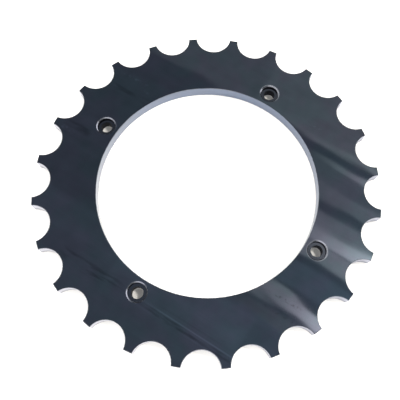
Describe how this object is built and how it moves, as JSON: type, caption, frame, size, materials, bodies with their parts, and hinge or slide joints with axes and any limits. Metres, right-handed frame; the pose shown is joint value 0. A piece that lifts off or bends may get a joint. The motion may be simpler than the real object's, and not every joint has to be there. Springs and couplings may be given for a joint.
{
  "type": "star wheel",
  "caption": "Flat ring-shaped star wheel with round pockets between square-tipped teeth, a large central bore and counterbored screw holes, for carrying round containers.",
  "frame": {"origin": "centre of the bore on the underside, the plain face", "axes": "+Z along the bore axis towards the counterbored face, +X through the middle of a pocket"},
  "size_m": [0.2088, 0.2088, 0.008],
  "materials": {
    "plate_steel": "dark blue-grey ground faces with bright cut walls"
  },
  "bodies": {
    "root": {"star_wheel": "plate_steel"}
  },
  "joints": []
}
